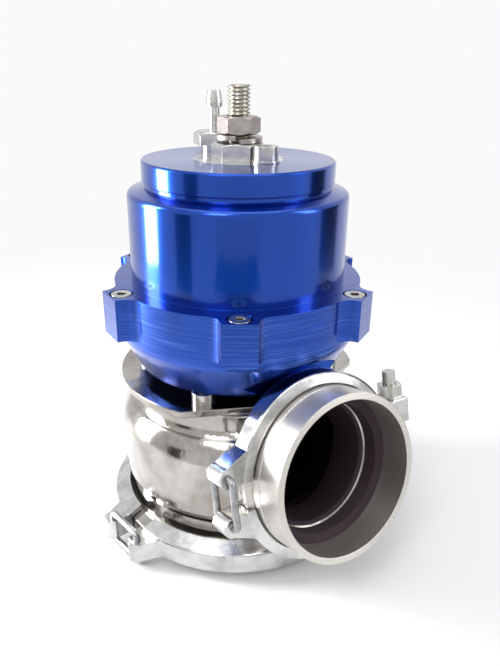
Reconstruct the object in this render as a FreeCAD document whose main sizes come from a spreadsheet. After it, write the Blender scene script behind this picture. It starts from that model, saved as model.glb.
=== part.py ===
"""External turbo wastegate with V-band flanges, a poppet valve and a diaphragm actuator.

Frame: +Z up along the valve axis, origin at the centre of the inlet flange's lower face,
the outlet pointing to -Y and tilted upwards.  Lengths are in millimetres, angles in degrees.
Azimuths are counted from -Y towards +X, seen from above.
"""
import FreeCAD, Part
import math
import os

import Sketcher

os.makedirs("parts", exist_ok=True)
doc = FreeCAD.newDocument("wastegate")
sheet = doc.addObject("Spreadsheet::Sheet", "Sizes")
Vector = FreeCAD.Vector

# Driving dimensions: alias, value and what it measures.
DRIVING = {
    # inlet joint
    "inlet_bore_radius": (29.0, "gas passage through the inlet flange and the seat"),
    "inlet_flange_height": (7.7, "lower face of the inlet flange to the joint"),
    "inlet_stub_radius": (34.0, "outside of the inlet flange's weld stub"),
    "inlet_rim_radius": (48.7, "V rims of the inlet joint"),
    "vband_rim_width": (2.2, "cylindrical edge of each V rim"),
    "vband_angle": (20.0, "slope of the V flanks from the joint plane"),
    "inlet_rim_depth": (4.5, "how far the inlet V flanks reach inwards"),
    # valve body
    "plate_drop": (13.4, "top of the body plate under the outlet clamp's top"),
    "waist_inset": (5.5, "waist above the inlet rim, inside that rim"),
    "drum_inset": (2.7, "drum round the valve chamber, inside the inlet rim"),
    "drum_taper": (1.2, "how much narrower the drum is at its lower corner"),
    "drum_bottom": (15.0, "inlet joint to the lower corner of the drum"),
    "drum_top": (42.5, "inlet joint to the upper corner of the drum"),
    "drum_round": (9.0, "rounding of the drum's upper corner"),
    "neck_offset": (1.1, "neck under the body plate outside the actuator's foot"),
    "plate_inset": (0.3, "round outline of the body plate inside the actuator's"),
    "plate_thickness": (2.4, "body plate"),
    "plate_flat_distance": (37.3, "axis to the two flats beside the outlet"),
    "plate_flat_angle": (24.3, "how far the flats' normals turn from the outlet"),
    "chamber_wall": (4.6, "casting wall round the valve chamber"),
    "roof_thickness": (13.0, "solid top of the body that takes the screws"),
    "guide_boss_radius": (11.5, "boss round the valve guide inside the chamber"),
    "guide_boss_height": (6.5, "how far that boss hangs into the chamber"),
    # outlet
    "outlet_level": (34.9, "base to where the outlet axis crosses the valve axis"),
    "outlet_tilt": (11.9, "rise of the outlet axis"),
    "outlet_joint": (51.5, "valve axis to the outlet joint, along the outlet axis"),
    "outlet_length": (17.5, "outlet flange from the joint to its rim"),
    "outlet_radius": (28.9, "outside of the outlet flange's tube"),
    "outlet_bore_radius": (23.2, "gas passage through the outlet joint"),
    "outlet_socket_radius": (26.6, "wider mouth of the outlet flange"),
    "outlet_socket_depth": (11.6, "depth of that mouth"),
    "outlet_neck_radius": (27.2, "cast tube behind the outlet joint"),
    "outlet_neck_wall": (3.0, "wall of the cast outlet port"),
    "outlet_port_radius": (21.6, "cast port inside that tube"),
    "outlet_rim_radius": (31.0, "V rims of the outlet joint"),
    "outlet_rim_depth": (2.1, "how far the outlet V flanks reach inwards"),
    "outlet_groove_distance": (7.1, "outlet joint to the turned line on the tube"),
    "outlet_groove_depth": (0.4, "turned line on the tube"),
    # valve
    "seat_ring_radius": (34.0, "outside of the valve seat ring"),
    "seat_ring_height": (7.0, "valve seat ring"),
    "seat_ring_level": (2.3, "inlet joint to the underside of the seat ring"),
    "seat_width": (1.5, "45 degree seat, measured along the radius"),
    "valve_edge": (3.5, "height of the valve head at its rim"),
    "tulip_height": (8.0, "swell from the valve head to the stem"),
    "stem_radius": (4.0, "valve stem"),
    "stem_thread_radius": (3.0, "threaded end of the stem"),
    "valve_lift": (13.0, "full travel of the valve"),
    "guide_radius": (7.0, "outside of the valve guide"),
    "guide_spigot": (5.2, "valve guide above the body plate"),
    "seal_radius": (8.0, "outside of the stem seal"),
    "seal_height": (3.0, "stem seal"),
    # actuator base
    "standoff_height": (3.9, "air gap between body plate and actuator base"),
    "standoff_radius": (4.2, "outside of a standoff"),
    "base_screw_inset": (3.9, "circle of the base screws inside the base's foot"),
    "base_screw_angle": (53.0, "base screws to either side of the outlet"),
    "base_screw_radius": (2.5, "base screw shank"),
    "base_head_radius": (4.25, "base screw head"),
    "base_head_height": (5.0, "base screw head"),
    "base_screw_grip": (10.5, "thread in the body"),
    "foot_inset": (6.9, "foot of the actuator base inside its round outline"),
    "foot_bevel": (1.5, "bevel round the foot of the actuator base"),
    "cone_height": (14.4, "underside of the base to the upper end of its cone"),
    "cone_round": (6.0, "rounding of the cone's upper end"),
    "clamp_headroom": (3.0, "relief of the base over the outlet clamp"),
    "chamber_depth": (11.5, "pressure chamber's floor to the seam"),
    "case_radius": (45.3, "round outline of base and cap flange"),
    "base_floor": (14.9, "underside of the base to the pressure chamber's floor"),
    "base_wall": (6.1, "wall of the base round the pressure chamber"),
    "land_inset": (2.3, "recess for the diaphragm's rim inside the round outline"),
    "port_radius": (4.3, "tapped pressure port"),
    "port_face_radius": (6.0, "spot face of the pressure port"),
    "port_face_depth": (1.0, "spot face of the pressure port"),
    # cover and its screws
    "lug_screw_offset": (0.7, "circle of the cover screws outside the round outline"),
    "lug_count": (6, "cover screws"),
    "lug_clocking": (87.6, "azimuth of one lug"),
    "lug_reach": (5.3, "a lug's flat end outside the round outline"),
    "lug_width": (11.8, "flat end of a lug"),
    "lug_blend": (6.0, "concave side of a lug"),
    "lug_height": (9.0, "lug of the actuator base"),
    "cap_flange_height": (6.0, "flange and lugs of the cap"),
    "cap_inset": (6.1, "cylinder of the cap inside the round outline"),
    "cap_wall": (4.0, "wall of the cap"),
    "shoulder_level": (37.2, "seam to the cap's shoulder"),
    "shoulder_round": (1.8, "rounding of the cap's shoulder"),
    "ring_level": (39.5, "seam to the foot of the cap's top ring"),
    "ring_inset": (5.3, "top ring inside the cap's cylinder"),
    "ring_undercut": (0.7, "groove at the foot of the ring"),
    "cap_height": (48.0, "seam to the top face"),
    "roof_wall": (6.5, "top wall of the cap"),
    "pocket_wall": (4.4, "wall of the top ring round the cap's narrow bore"),
    "cover_screw_radius": (2.0, "cover screw shank"),
    "cover_screw_length": (10.0, "cover screw under its head"),
    "cover_head_radius": (3.5, "cover screw head"),
    "cover_head_height": (4.0, "cover screw head"),
    "cover_sink_radius": (4.15, "counterbore of a cover screw"),
    # top fittings
    "disc_radius": (15.9, "bright insert in the cap's top face"),
    "disc_thickness": (4.0, "bright insert"),
    "collar_thread_radius": (7.0, "threaded shank of the adjuster collar"),
    "collar_flats": (16.6, "across flats of the adjuster collar"),
    "collar_height": (5.5, "hexagon of the adjuster collar"),
    "collar_turn": (20.8, "azimuth of one flat of the collar"),
    "adjuster_radius": (4.0, "adjuster screw"),
    "adjuster_top": (23.8, "cap's top face to the end of the adjuster screw"),
    "preload_travel": (5.0, "how far the adjuster screws in"),
    "washer_radius": (8.2, "lock washer"),
    "washer_thickness": (1.5, "lock washer"),
    "washer_spring": (1.1, "rise of the split lock washer"),
    "nut_flats": (13.0, "across flats of the lock nut"),
    "nut_height": (5.9, "lock nut"),
    "washer_split": (-30.0, "azimuth of the lock washer's split"),
    "nut_turn": (-33.2, "azimuth of one flat of the lock nut"),
    "plug_distance": (13.5, "axis to the vent screw"),
    "plug_azimuth": (8.8, "azimuth of the vent screw"),
    "plug_head_radius": (4.25, "vent screw head"),
    "plug_head_height": (4.6, "vent screw head"),
    "plug_shank_radius": (2.0, "vent screw shank"),
    "plug_shank_length": (6.5, "vent screw under its head"),
    "plug_washer_radius": (4.7, "sealing washer of the vent screw"),
    "plug_washer_thickness": (0.8, "sealing washer of the vent screw"),
    "barb_distance": (21.3, "axis to the hose barb"),
    "barb_azimuth": (171.8, "azimuth of the hose barb"),
    "barb_thread_radius": (5.0, "threaded end of the hose barb"),
    "barb_flats": (14.0, "across flats of the hose barb"),
    "barb_turn": (18.3, "azimuth of one flat of the hose barb"),
    "barb_neck": (2.4, "cap's top face to the barb's hexagon"),
    "barb_hex_height": (4.6, "hexagon of the hose barb"),
    "barb_stem_radius": (2.0, "hose tail"),
    "barb_ridge_radius": (3.1, "ridge of the hose tail"),
    "barb_tip_radius": (2.4, "end of the hose tail"),
    "barb_length": (14.2, "hose tail above the hexagon"),
    "barb_bore_radius": (1.2, "air passage through the barb"),
    # moving stack
    "stack_level": (2.8, "chamber floor to the lower retainer at rest"),
    "retainer_inset": (1.5, "lower retainer plate inside the piston cup"),
    "retainer_thickness": (3.0, "lower retainer plate"),
    "sheet_thickness": (0.9, "diaphragm sheet"),
    "land_depth": (1.2, "recess that takes the diaphragm's rim"),
    "roll_width": (6.2, "space for the rolled diaphragm between cup and cap"),
    "piston_wall": (2.0, "wall of the piston cup"),
    "piston_floor": (3.0, "floor of the piston cup"),
    "piston_height": (10.0, "height of the piston cup"),
    "roll_height": (11.5, "crest of the rolled diaphragm over its centre"),
    "stem_nut_flats": (10.0, "across flats of the stem nut"),
    "stem_nut_height": (5.0, "stem nut"),
    "outer_coil_inset": (4.5, "mean radius of the outer spring inside the cup's wall"),
    "outer_wire": (3.4, "wire of the outer spring"),
    "outer_turns": (5.0, "turns of the outer spring"),
    "inner_coil_radius": (13.5, "mean radius of the inner spring"),
    "inner_wire": (2.6, "wire of the inner spring"),
    "inner_turns": (6.0, "turns of the inner spring"),
    "spring_seat_inset": (2.5, "upper spring seat inside the cap's narrow bore"),
    "spring_seat_thickness": (3.0, "rim of the upper spring seat"),
    "spring_seat_gap": (2.0, "upper spring seat to the cap's roof"),
    "spring_step": (2.0, "each locating step of the spring seats"),
    # V-band clamps
    "clamp_web": (2.0, "outer wall of a clamp"),
    "clamp_web_edge": (1.3, "outer wall of a clamp beyond the rims it covers"),
    "inlet_clamp_lip": (2.5, "height of the inlet clamp's flank at its inner edge"),
    "outlet_clamp_lip": (1.4, "height of the outlet clamp's flank at its inner edge"),
    "clamp_gap": (10.5, "space between the lugs of a closed clamp"),
    "clamp_lug_length": (9.0, "clamp lug along the bolt"),
    "clamp_lug_reach": (7.5, "clamp lug outside the web"),
    "clamp_lug_width": (11.0, "clamp lug along the clamp's axis"),
    "clamp_bolt_radius": (2.5, "clamp bolt"),
    "clamp_bolt_offset": (3.8, "clamp's outside to the bolt's axis"),
    "clamp_pin_radius": (2.0, "cross pin of a clamp"),
    "clamp_eye_radius": (3.6, "eye of the clamp bolt"),
    "clamp_nut_flats": (8.0, "across flats of the clamp nut"),
    "clamp_nut_height": (5.0, "clamp nut"),
    "clamp_slack": (5.0, "bolt beyond the tightened nut"),
    "band_round": (1.2, "rounded outer corners of a clamp's band"),
    "hinge_spread": (17.0, "between the two eyes of a clamp's link hinge"),
    "hinge_offset": (4.1, "clamp's outside to the eyes of the link hinge"),
    "hinge_eye_radius": (3.4, "curled lug round each eye of the link hinge"),
    "hinge_width": (7.8, "curled lugs along the clamp's axis"),
    "link_wire": (2.4, "wire of the oval link"),
    "link_bend": (1.8, "bends of the oval link, on the wire's centre line"),
    "link_gap": (0.3, "curled lug to the start of the link's bends"),
    "inlet_clamp_turn": (7.0, "direction of the inlet clamp's bolt, from +X"),
    # clearances
    "fit": (0.05, "gap of threads, seats and running fits"),
    "rim_gap": (0.3, "clamp to the V rims it holds"),
    "seam": (0.1, "slack where round pieces drop in"),
}


class Size:
    """A number together with the sheet expression that gives it."""

    def __init__(self, value, text=None):
        self.value = float(value)
        self.text = text or f"({self.value!r})"

    def joined(self, sign, other, value):
        return Size(value, f"({self.text} {sign} {other.text})")

    def __add__(self, other):
        other = as_size(other)
        return self.joined("+", other, self.value + other.value)

    def __sub__(self, other):
        other = as_size(other)
        return self.joined("-", other, self.value - other.value)

    def __mul__(self, other):
        other = as_size(other)
        return self.joined("*", other, self.value * other.value)

    def __truediv__(self, other):
        other = as_size(other)
        return self.joined("/", other, self.value / other.value)

    def __neg__(self):
        return Size(-self.value, f"(-{self.text})")

    __radd__ = __add__
    __rmul__ = __mul__

    def __rsub__(self, other):
        return as_size(other) - self


def as_size(number):
    return number if isinstance(number, Size) else Size(number)


def sine(angle):
    return Size(math.sin(math.radians(angle.value)), f"sin({angle.text})")


def cosine(angle):
    return Size(math.cos(math.radians(angle.value)), f"cos({angle.text})")


def tangent(angle):
    return Size(math.tan(math.radians(angle.value)), f"tan({angle.text})")


def root(number):
    return Size(math.sqrt(number.value), f"sqrt({number.text})")


class Sizes:
    """The driving dimensions as attributes, each also a cell of the sheet."""

    def __init__(self, table):
        for row, (alias, (value, note)) in enumerate(table.items(), start=1):
            sheet.set(f"A{row}", note)
            sheet.set(f"B{row}", str(value))
            sheet.setAlias(f"B{row}", alias)
            setattr(self, alias, Size(value, f"Sizes.{alias}"))


d = Sizes(DRIVING)
doc.recompute()

ZERO = Size(0)
UP_TO_OUTLET = 90 - d.outlet_tilt

# Radii of the valve body that follow the inlet rim.
waist_radius = d.inlet_rim_radius - d.waist_inset
drum_radius = d.inlet_rim_radius - d.drum_inset

# Radii that follow the round outline of base and cap inwards.
foot_radius = d.case_radius - d.foot_inset
neck_radius = foot_radius + d.neck_offset
plate_radius = d.case_radius - d.plate_inset
base_screw_circle = foot_radius - d.base_screw_inset
base_chamber_radius = d.case_radius - d.base_wall
land_radius = d.case_radius - d.land_inset
lug_screw_circle = d.case_radius + d.lug_screw_offset
cap_radius = d.case_radius - d.cap_inset
cap_bore = cap_radius - d.cap_wall
ring_radius = cap_radius - d.ring_inset
pocket_radius = ring_radius - d.pocket_wall
spring_seat_radius = pocket_radius - d.spring_seat_inset
piston_radius = cap_bore - d.roll_width
piston_bore = piston_radius - d.piston_wall
retainer_radius = piston_radius - d.retainer_inset
outer_coil_radius = piston_bore - d.outer_coil_inset

# The body plate lies a set drop under the top of the closed outlet clamp.
outlet_clamp_outside = d.outlet_rim_radius + d.rim_gap + d.clamp_web
outlet_clamp_top = (d.outlet_level + d.outlet_joint * sine(d.outlet_tilt)
                    + outlet_clamp_outside * cosine(d.outlet_tilt))

# Levels over the base that several pieces share.
joint_level = d.inlet_flange_height
plate_level = outlet_clamp_top - d.plate_drop
body_height = plate_level - joint_level
base_level = plate_level + d.standoff_height
base_height = d.base_floor + d.chamber_depth
seam_level = base_level + base_height
top_level = seam_level + d.cap_height
floor_level = base_level + d.base_floor
retainer_level = floor_level + d.stack_level
sheet_level = retainer_level + d.retainer_thickness
piston_level = sheet_level + d.sheet_thickness
spring_foot_level = piston_level + d.piston_floor
roof_level = top_level - d.roof_wall
spring_seat_level = roof_level - d.spring_seat_gap - d.spring_seat_thickness
collar_top_level = top_level + d.collar_height
washer_top_level = collar_top_level + d.washer_thickness + d.washer_spring


def plane(body, role):
    return next(item for item in body.Origin.OriginFeatures if item.Role == role)


def new_body(label, level=ZERO):
    """A body whose own origin stands at a level on the valve axis."""
    body = doc.addObject("PartDesign::Body", label)
    body.Label = label
    body.setExpression("Placement.Base.z", level.text)
    return body


def lay_along_outlet(body):
    """Turn a body's own +Z into the outlet axis, with its origin at the outlet joint."""
    across = FreeCAD.Rotation(Vector(1, 0, 0), UP_TO_OUTLET.value)
    forward = d.outlet_joint * cosine(d.outlet_tilt)
    rise = d.outlet_joint * sine(d.outlet_tilt)
    body.Placement = FreeCAD.Placement(Vector(0, 0, 0), across)
    body.setExpression("Placement.Base.y", (-forward).text)
    body.setExpression("Placement.Base.z", (d.outlet_level + rise).text)
    body.setExpression("Placement.Rotation.Angle", UP_TO_OUTLET.text)


def sketch_on(body, role, name, offset=ZERO):
    sketch = body.newObject("Sketcher::SketchObject", name)
    sketch.AttachmentSupport = (plane(body, role), [""])
    sketch.MapMode = "FlatFace"
    sketch.setExpression("AttachmentOffset.Base.z", offset.text)
    return sketch


def hold(sketch, kind, places, amount):
    """Add one dimension to a sketch and bind it to its size."""
    number = sketch.addConstraint(Sketcher.Constraint(kind, *places, amount.value))
    sketch.setExpression(f"Constraints[{number}]", amount.text)


def draw_polygon(sketch, corners, arcs=None):
    """Close a line through the corners, each held by its distances from the origin.

    arcs maps the number of a side to (radius, centre point) where that side is round.
    """
    arcs = arcs or {}
    corners = [(as_size(x), as_size(y)) for x, y in corners]
    points = [Vector(x.value, y.value, 0) for x, y in corners]
    count = len(points)
    starts = []
    ends = []
    for side, start in enumerate(points):
        end = points[(side + 1) % count]
        leaves, arrives = 1, 2
        if side in arcs:
            radius, centre = arcs[side]
            if (start - centre).cross(end - centre).z < 0:
                start, end = end, start
                leaves, arrives = 2, 1
            outward = ((start + end) * 0.5 - centre).normalize()
            curve = Part.Arc(start, centre + outward * radius.value, end)
        else:
            curve = Part.LineSegment(start, end)
        number = sketch.addGeometry(curve, False)
        starts.append((number, leaves))
        ends.append((number, arrives))
    for side in range(count):
        following = starts[(side + 1) % count]
        sketch.addConstraint(Sketcher.Constraint("Coincident", *ends[side], *following))
    for (x, y), start in zip(corners, starts):
        hold(sketch, "DistanceX", (-1, 1, *start), x)
        hold(sketch, "DistanceY", (-1, 1, *start), y)
    for side, (radius, _) in arcs.items():
        hold(sketch, "Radius", (starts[side][0],), radius)


def draw_circle(sketch, x, y, radius):
    x, y, radius = as_size(x), as_size(y), as_size(radius)
    circle = Part.Circle(Vector(x.value, y.value, 0), Vector(0, 0, 1), radius.value)
    number = sketch.addGeometry(circle, False)
    hold(sketch, "DistanceX", (-1, 1, number, 3), x)
    hold(sketch, "DistanceY", (-1, 1, number, 3), y)
    hold(sketch, "Radius", (number,), radius)


def turned(body, name, corners, cut=False, role="XZ_Plane", span=None):
    """Revolve a closed outline of (radius, height) corners about the body's own Z axis."""
    sketch = sketch_on(body, role, name + "Outline")
    draw_polygon(sketch, corners)
    kind = "PartDesign::Groove" if cut else "PartDesign::Revolution"
    feature = body.newObject(kind, name)
    feature.Profile = (sketch, [""])
    feature.ReferenceAxis = (sketch, ["V_Axis"])
    feature.Angle = 360
    if span:
        feature.Midplane = True
        feature.setExpression("Angle", span.text)
    return feature


def raised(body, name, draw, bottom, height):
    """Pad what draw(sketch) draws, from a height of the body upwards."""
    sketch = sketch_on(body, "XY_Plane", name + "Outline", bottom)
    draw(sketch)
    pad = body.newObject("PartDesign::Pad", name)
    pad.Profile = (sketch, [""])
    pad.setExpression("Length", height.text)
    return pad


def sunk(body, name, draw, top, depth):
    """Pocket what draw(sketch) draws, from a height of the body downwards."""
    sketch = sketch_on(body, "XY_Plane", name + "Outline", top)
    draw(sketch)
    pocket = body.newObject("PartDesign::Pocket", name)
    pocket.Profile = (sketch, [""])
    pocket.setExpression("Length", depth.text)
    return pocket


def repeated(body, name, features, count):
    """Repeat features evenly round the body's own Z axis."""
    pattern = body.newObject("PartDesign::PolarPattern", name)
    pattern.Originals = features
    pattern.Axis = (plane(body, "Z_Axis"), [""])
    pattern.Angle = 360
    pattern.setExpression("Occurrences", count.text)
    body.Tip = pattern
    return pattern


def along_outlet(body, name, corners, centre, cut=False):
    """Revolve an outline of (distance, radius) corners about the tilted outlet axis.

    centre is the height at which that axis crosses the body's own Z axis.
    """
    sketch = sketch_on(body, "YZ_Plane", name + "Outline")
    sketch.setExpression("AttachmentOffset.Base.y", centre.text)
    sketch.setExpression("AttachmentOffset.Rotation.Angle", (180 - d.outlet_tilt).text)
    draw_polygon(sketch, corners)
    feature = body.newObject("PartDesign::Groove" if cut else "PartDesign::Revolution", name)
    feature.Profile = (sketch, [""])
    feature.ReferenceAxis = (sketch, ["H_Axis"])
    feature.Angle = 360
    return feature


def round_edges(body, name, places, radius, bevel=False):
    """Fillet or chamfer the circular edges at the given (radius, height) places."""
    doc.recompute()
    base = body.Tip
    chosen = []
    for number, edge in enumerate(base.Shape.Edges, start=1):
        if not isinstance(edge.Curve, Part.Circle):
            continue
        centre = edge.Curve.Center
        for edge_radius, height in places:
            same_radius = abs(edge.Curve.Radius - as_size(edge_radius).value) < 0.01
            same_height = abs(centre.z - as_size(height).value) < 0.01
            on_axis = math.hypot(centre.x, centre.y) < 0.01
            if same_radius and same_height and on_axis:
                chosen.append(f"Edge{number}")
    kind = "PartDesign::Chamfer" if bevel else "PartDesign::Fillet"
    feature = body.newObject(kind, name)
    feature.Base = (base, chosen)
    feature.setExpression("Size" if bevel else "Radius", as_size(radius).text)
    body.Tip = feature
    return feature


def at_azimuth(distance, azimuth):
    """X and Y of a point at an azimuth round the valve axis."""
    return distance * sine(azimuth), -(distance * cosine(azimuth))


def hexagon(flats, azimuth, centre=(ZERO, ZERO)):
    """Corners of a hexagon with one flat facing an azimuth."""
    corners = []
    for step in range(6):
        x, y = at_azimuth(flats / math.sqrt(3), azimuth + (30 + 60 * step))
        corners.append((centre[0] + x, centre[1] + y))
    return corners


def hex_block(body, name, flats, azimuth, bottom, height, crown=True, foot=False):
    """A hexagon prism whose corners are turned off at 30 degrees on its upper or lower end."""
    raised(body, name, lambda sketch: draw_polygon(sketch, hexagon(flats, azimuth)), bottom, height)
    inner = flats * 0.475
    outer = flats * 0.6
    slope = (outer - inner) * math.tan(math.radians(30))
    top = bottom + height
    if crown:
        turned(body, name + "Crown", [(inner, top), (outer, top), (outer, top - slope)], cut=True)
    if foot:
        corners = [(inner, bottom), (outer, bottom + slope), (outer, bottom)]
        turned(body, name + "Foot", corners, cut=True)


def v_flank(rim_radius, rim_depth):
    """Axial rise of a V flank over its depth."""
    return rim_depth * tangent(d.vband_angle)


# ---------------------------------------------------------------- inlet flange
inlet_flange = new_body("inlet_flange")
rim_foot = d.inlet_flange_height - d.vband_rim_width
flank_foot = rim_foot - v_flank(d.inlet_rim_radius, d.inlet_rim_depth)
turned(inlet_flange, "Ring", [
    (d.inlet_bore_radius, 0),
    (d.inlet_stub_radius, 0),
    (d.inlet_stub_radius, flank_foot),
    (d.inlet_rim_radius - d.inlet_rim_depth, flank_foot),
    (d.inlet_rim_radius, rim_foot),
    (d.inlet_rim_radius, d.inlet_flange_height),
    (d.inlet_bore_radius, d.inlet_flange_height),
])
round_edges(inlet_flange, "StubRound", [(d.inlet_stub_radius, flank_foot)], 1.0)

# ---------------------------------------------------------------- valve body
seat_top = d.seat_ring_level + d.seat_ring_height
plate_foot = body_height - d.plate_thickness
roof = body_height - d.roof_thickness
chamber_radius = drum_radius - d.chamber_wall
rim_top = d.vband_rim_width
flank_top = rim_top + v_flank(d.inlet_rim_radius, d.inlet_rim_depth)
throat_radius = d.inlet_bore_radius + 1.0
outlet_centre = d.outlet_level - joint_level
drum_foot_radius = drum_radius - d.drum_taper

valve_body = new_body("valve_body", joint_level)
turned(valve_body, "Casting", [
    (0, 0),
    (d.inlet_rim_radius, 0),
    (d.inlet_rim_radius, rim_top),
    (d.inlet_rim_radius - d.inlet_rim_depth, flank_top),
    (waist_radius, flank_top + 1.5),
    (waist_radius, d.drum_bottom - 3.0),
    (drum_foot_radius, d.drum_bottom),
    (drum_radius, d.drum_top),
    (neck_radius, d.drum_top + 4.5),
    (neck_radius, plate_foot),
    (plate_radius, plate_foot),
    (plate_radius, body_height),
    (0, body_height),
])
round_edges(valve_body, "ShoulderRound", [(drum_radius, d.drum_top)], d.drum_round)
round_edges(valve_body, "NeckRound", [(neck_radius, d.drum_top + 4.5)], 3.0)
round_edges(valve_body, "DrumRound", [(drum_foot_radius, d.drum_bottom)], 4.0)

outlet_flank = v_flank(d.outlet_rim_radius, d.outlet_rim_depth)
outlet_rim_back = d.outlet_joint - d.vband_rim_width
along_outlet(valve_body, "OutletNeck", [
    (0, 0),
    (d.outlet_joint, 0),
    (d.outlet_joint, d.outlet_rim_radius),
    (outlet_rim_back, d.outlet_rim_radius),
    (outlet_rim_back - outlet_flank, d.outlet_rim_radius - d.outlet_rim_depth),
    (outlet_rim_back - outlet_flank - 1.2, d.outlet_neck_radius),
    (outlet_rim_back - outlet_flank - 5.0, d.outlet_port_radius + d.outlet_neck_wall),
    (0, d.outlet_port_radius + d.outlet_neck_wall),
], outlet_centre)
turned(valve_body, "Chamber", [
    (0, 0),
    (throat_radius, 0),
    (throat_radius, d.seat_ring_level),
    (d.seat_ring_radius + d.fit, d.seat_ring_level),
    (d.seat_ring_radius + d.fit, seat_top),
    (chamber_radius - 3.0, seat_top),
    (chamber_radius, seat_top + 4.5),
    (chamber_radius, d.drum_top - 5.0),
    (neck_radius - d.chamber_wall, roof),
    (d.guide_boss_radius, roof),
    (d.guide_boss_radius - 1.5, roof - d.guide_boss_height),
    (0, roof - d.guide_boss_height),
], cut=True)
along_outlet(valve_body, "OutletPort", [
    (d.guide_boss_radius + 4.0, 0),
    (d.outlet_joint, 0),
    (d.outlet_joint, d.outlet_bore_radius),
    (d.outlet_joint - 1.6, d.outlet_port_radius),
    (d.guide_boss_radius + 4.0, d.outlet_port_radius),
], outlet_centre, cut=True)
guide_bore = d.guide_radius + d.fit
sunk(valve_body, "GuideBore", lambda sketch: draw_circle(sketch, 0, 0, guide_bore),
     body_height, d.roof_thickness + d.guide_boss_height)

base_screw_azimuths = [
    d.base_screw_angle,
    -d.base_screw_angle,
    180 - d.base_screw_angle,
    180 + d.base_screw_angle,
]
base_screw_places = [at_azimuth(base_screw_circle, azimuth) for azimuth in base_screw_azimuths]


def circles_at(places, radius):
    """Drawing of equal circles."""
    def draw(sketch):
        for x, y in places:
            draw_circle(sketch, x, y, radius)
    return draw


sunk(valve_body, "BaseThreads", circles_at(base_screw_places, d.base_screw_radius + d.fit),
     body_height, d.base_screw_grip + 1.0)


def plate_flat(side):
    """Corners of the piece of plate cut off beside the outlet."""
    normal = side * d.plate_flat_angle
    corners = []
    for outward, along in ((0, -40), (20, -40), (20, 40), (0, 40)):
        distance = d.plate_flat_distance + outward
        x, y = at_azimuth(distance, normal)
        corners.append((x + along * cosine(normal), y + along * sine(normal)))
    return corners


for side, name in ((1, "FlatRight"), (-1, "FlatLeft")):
    sunk(valve_body, name, lambda sketch, side=side: draw_polygon(sketch, plate_flat(side)),
         body_height, d.plate_thickness)

# ---------------------------------------------------------------- valve and its guide
valve_seat = new_body("valve_seat", joint_level)
seat_foot = d.seat_ring_level
turned(valve_seat, "Ring", [
    (d.inlet_bore_radius, seat_foot),
    (d.seat_ring_radius, seat_foot),
    (d.seat_ring_radius, seat_top),
    (d.inlet_bore_radius + d.seat_width, seat_top),
    (d.inlet_bore_radius, seat_top - d.seat_width),
])

valve = new_body("valve", joint_level)
head_foot = seat_top - d.seat_width
head_foot_radius = d.inlet_bore_radius - 2 * d.fit
bevel_height = d.seat_width + 0.4
head_radius = head_foot_radius + bevel_height
head_top = head_foot + d.valve_edge
stem_shoulder = retainer_level - joint_level
stem_end = spring_foot_level + d.spring_step + d.stem_nut_height + 2.0 - joint_level
turned(valve, "Poppet", [
    (0, head_foot),
    (head_foot_radius, head_foot),
    (head_radius, head_foot + bevel_height),
    (head_radius, head_top),
    (head_radius * 0.36, head_top + d.tulip_height * 0.3),
    (d.stem_radius, head_top + d.tulip_height),
    (d.stem_radius, stem_shoulder),
    (d.stem_thread_radius, stem_shoulder),
    (d.stem_thread_radius, stem_end),
    (0, stem_end),
])
round_edges(valve, "Tulip", [
    (head_radius * 0.36, head_top + d.tulip_height * 0.3),
    (d.stem_radius, head_top + d.tulip_height),
], 6.0)
round_edges(valve, "StemEnd", [(d.stem_thread_radius, stem_end)], 0.6, bevel=True)

valve_guide = new_body("valve_guide", joint_level)
guide_foot = roof - d.guide_boss_height
guide_top = body_height + d.guide_spigot
turned(valve_guide, "Bush", [
    (d.stem_radius + d.fit, guide_foot),
    (d.guide_radius, guide_foot),
    (d.guide_radius, guide_top),
    (d.stem_radius + d.fit, guide_top),
])
round_edges(valve_guide, "Lead", [(d.guide_radius, guide_top)], 0.8, bevel=True)

# ---------------------------------------------------------------- standoffs and base screws
standoffs = new_body("standoffs", plate_level)
standoff_bore = d.base_screw_radius + 0.2


def draw_standoffs(sketch):
    for x, y in base_screw_places:
        draw_circle(sketch, x, y, d.standoff_radius)
        draw_circle(sketch, x, y, standoff_bore)


raised(standoffs, "Spacers", draw_standoffs, ZERO, d.standoff_height)


def cap_screws(label, level, places, azimuths, shank, head, length):
    """Socket screws whose heads rest on a level; shank and head are (radius, height) pairs."""
    body = new_body(label, level)
    shank_radius, shank_length = shank
    head_radius, head_height = head
    raised(body, "Heads", circles_at(places, head_radius), ZERO, head_height)
    raised(body, "Shanks", circles_at(places, shank_radius), -shank_length, shank_length + 0.1)

    def draw_sockets(sketch):
        for place, azimuth in zip(places, azimuths):
            draw_polygon(sketch, hexagon(head_radius * 0.86, azimuth, place))

    sunk(body, "Sockets", draw_sockets, head_height, head_height * 0.55)
    return body


screw_sink = d.base_floor - d.base_head_height
base_screw_length = screw_sink + d.standoff_height + d.base_screw_grip
cap_screws("base_screws", base_level + screw_sink, base_screw_places, base_screw_azimuths,
           (d.base_screw_radius, base_screw_length), (d.base_head_radius, d.base_head_height),
           base_screw_length)

# ---------------------------------------------------------------- actuator base
lug_azimuths = [d.lug_clocking + 60.0 * step for step in range(int(d.lug_count.value))]
lug_places = [at_azimuth(lug_screw_circle, azimuth) for azimuth in lug_azimuths]


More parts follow.
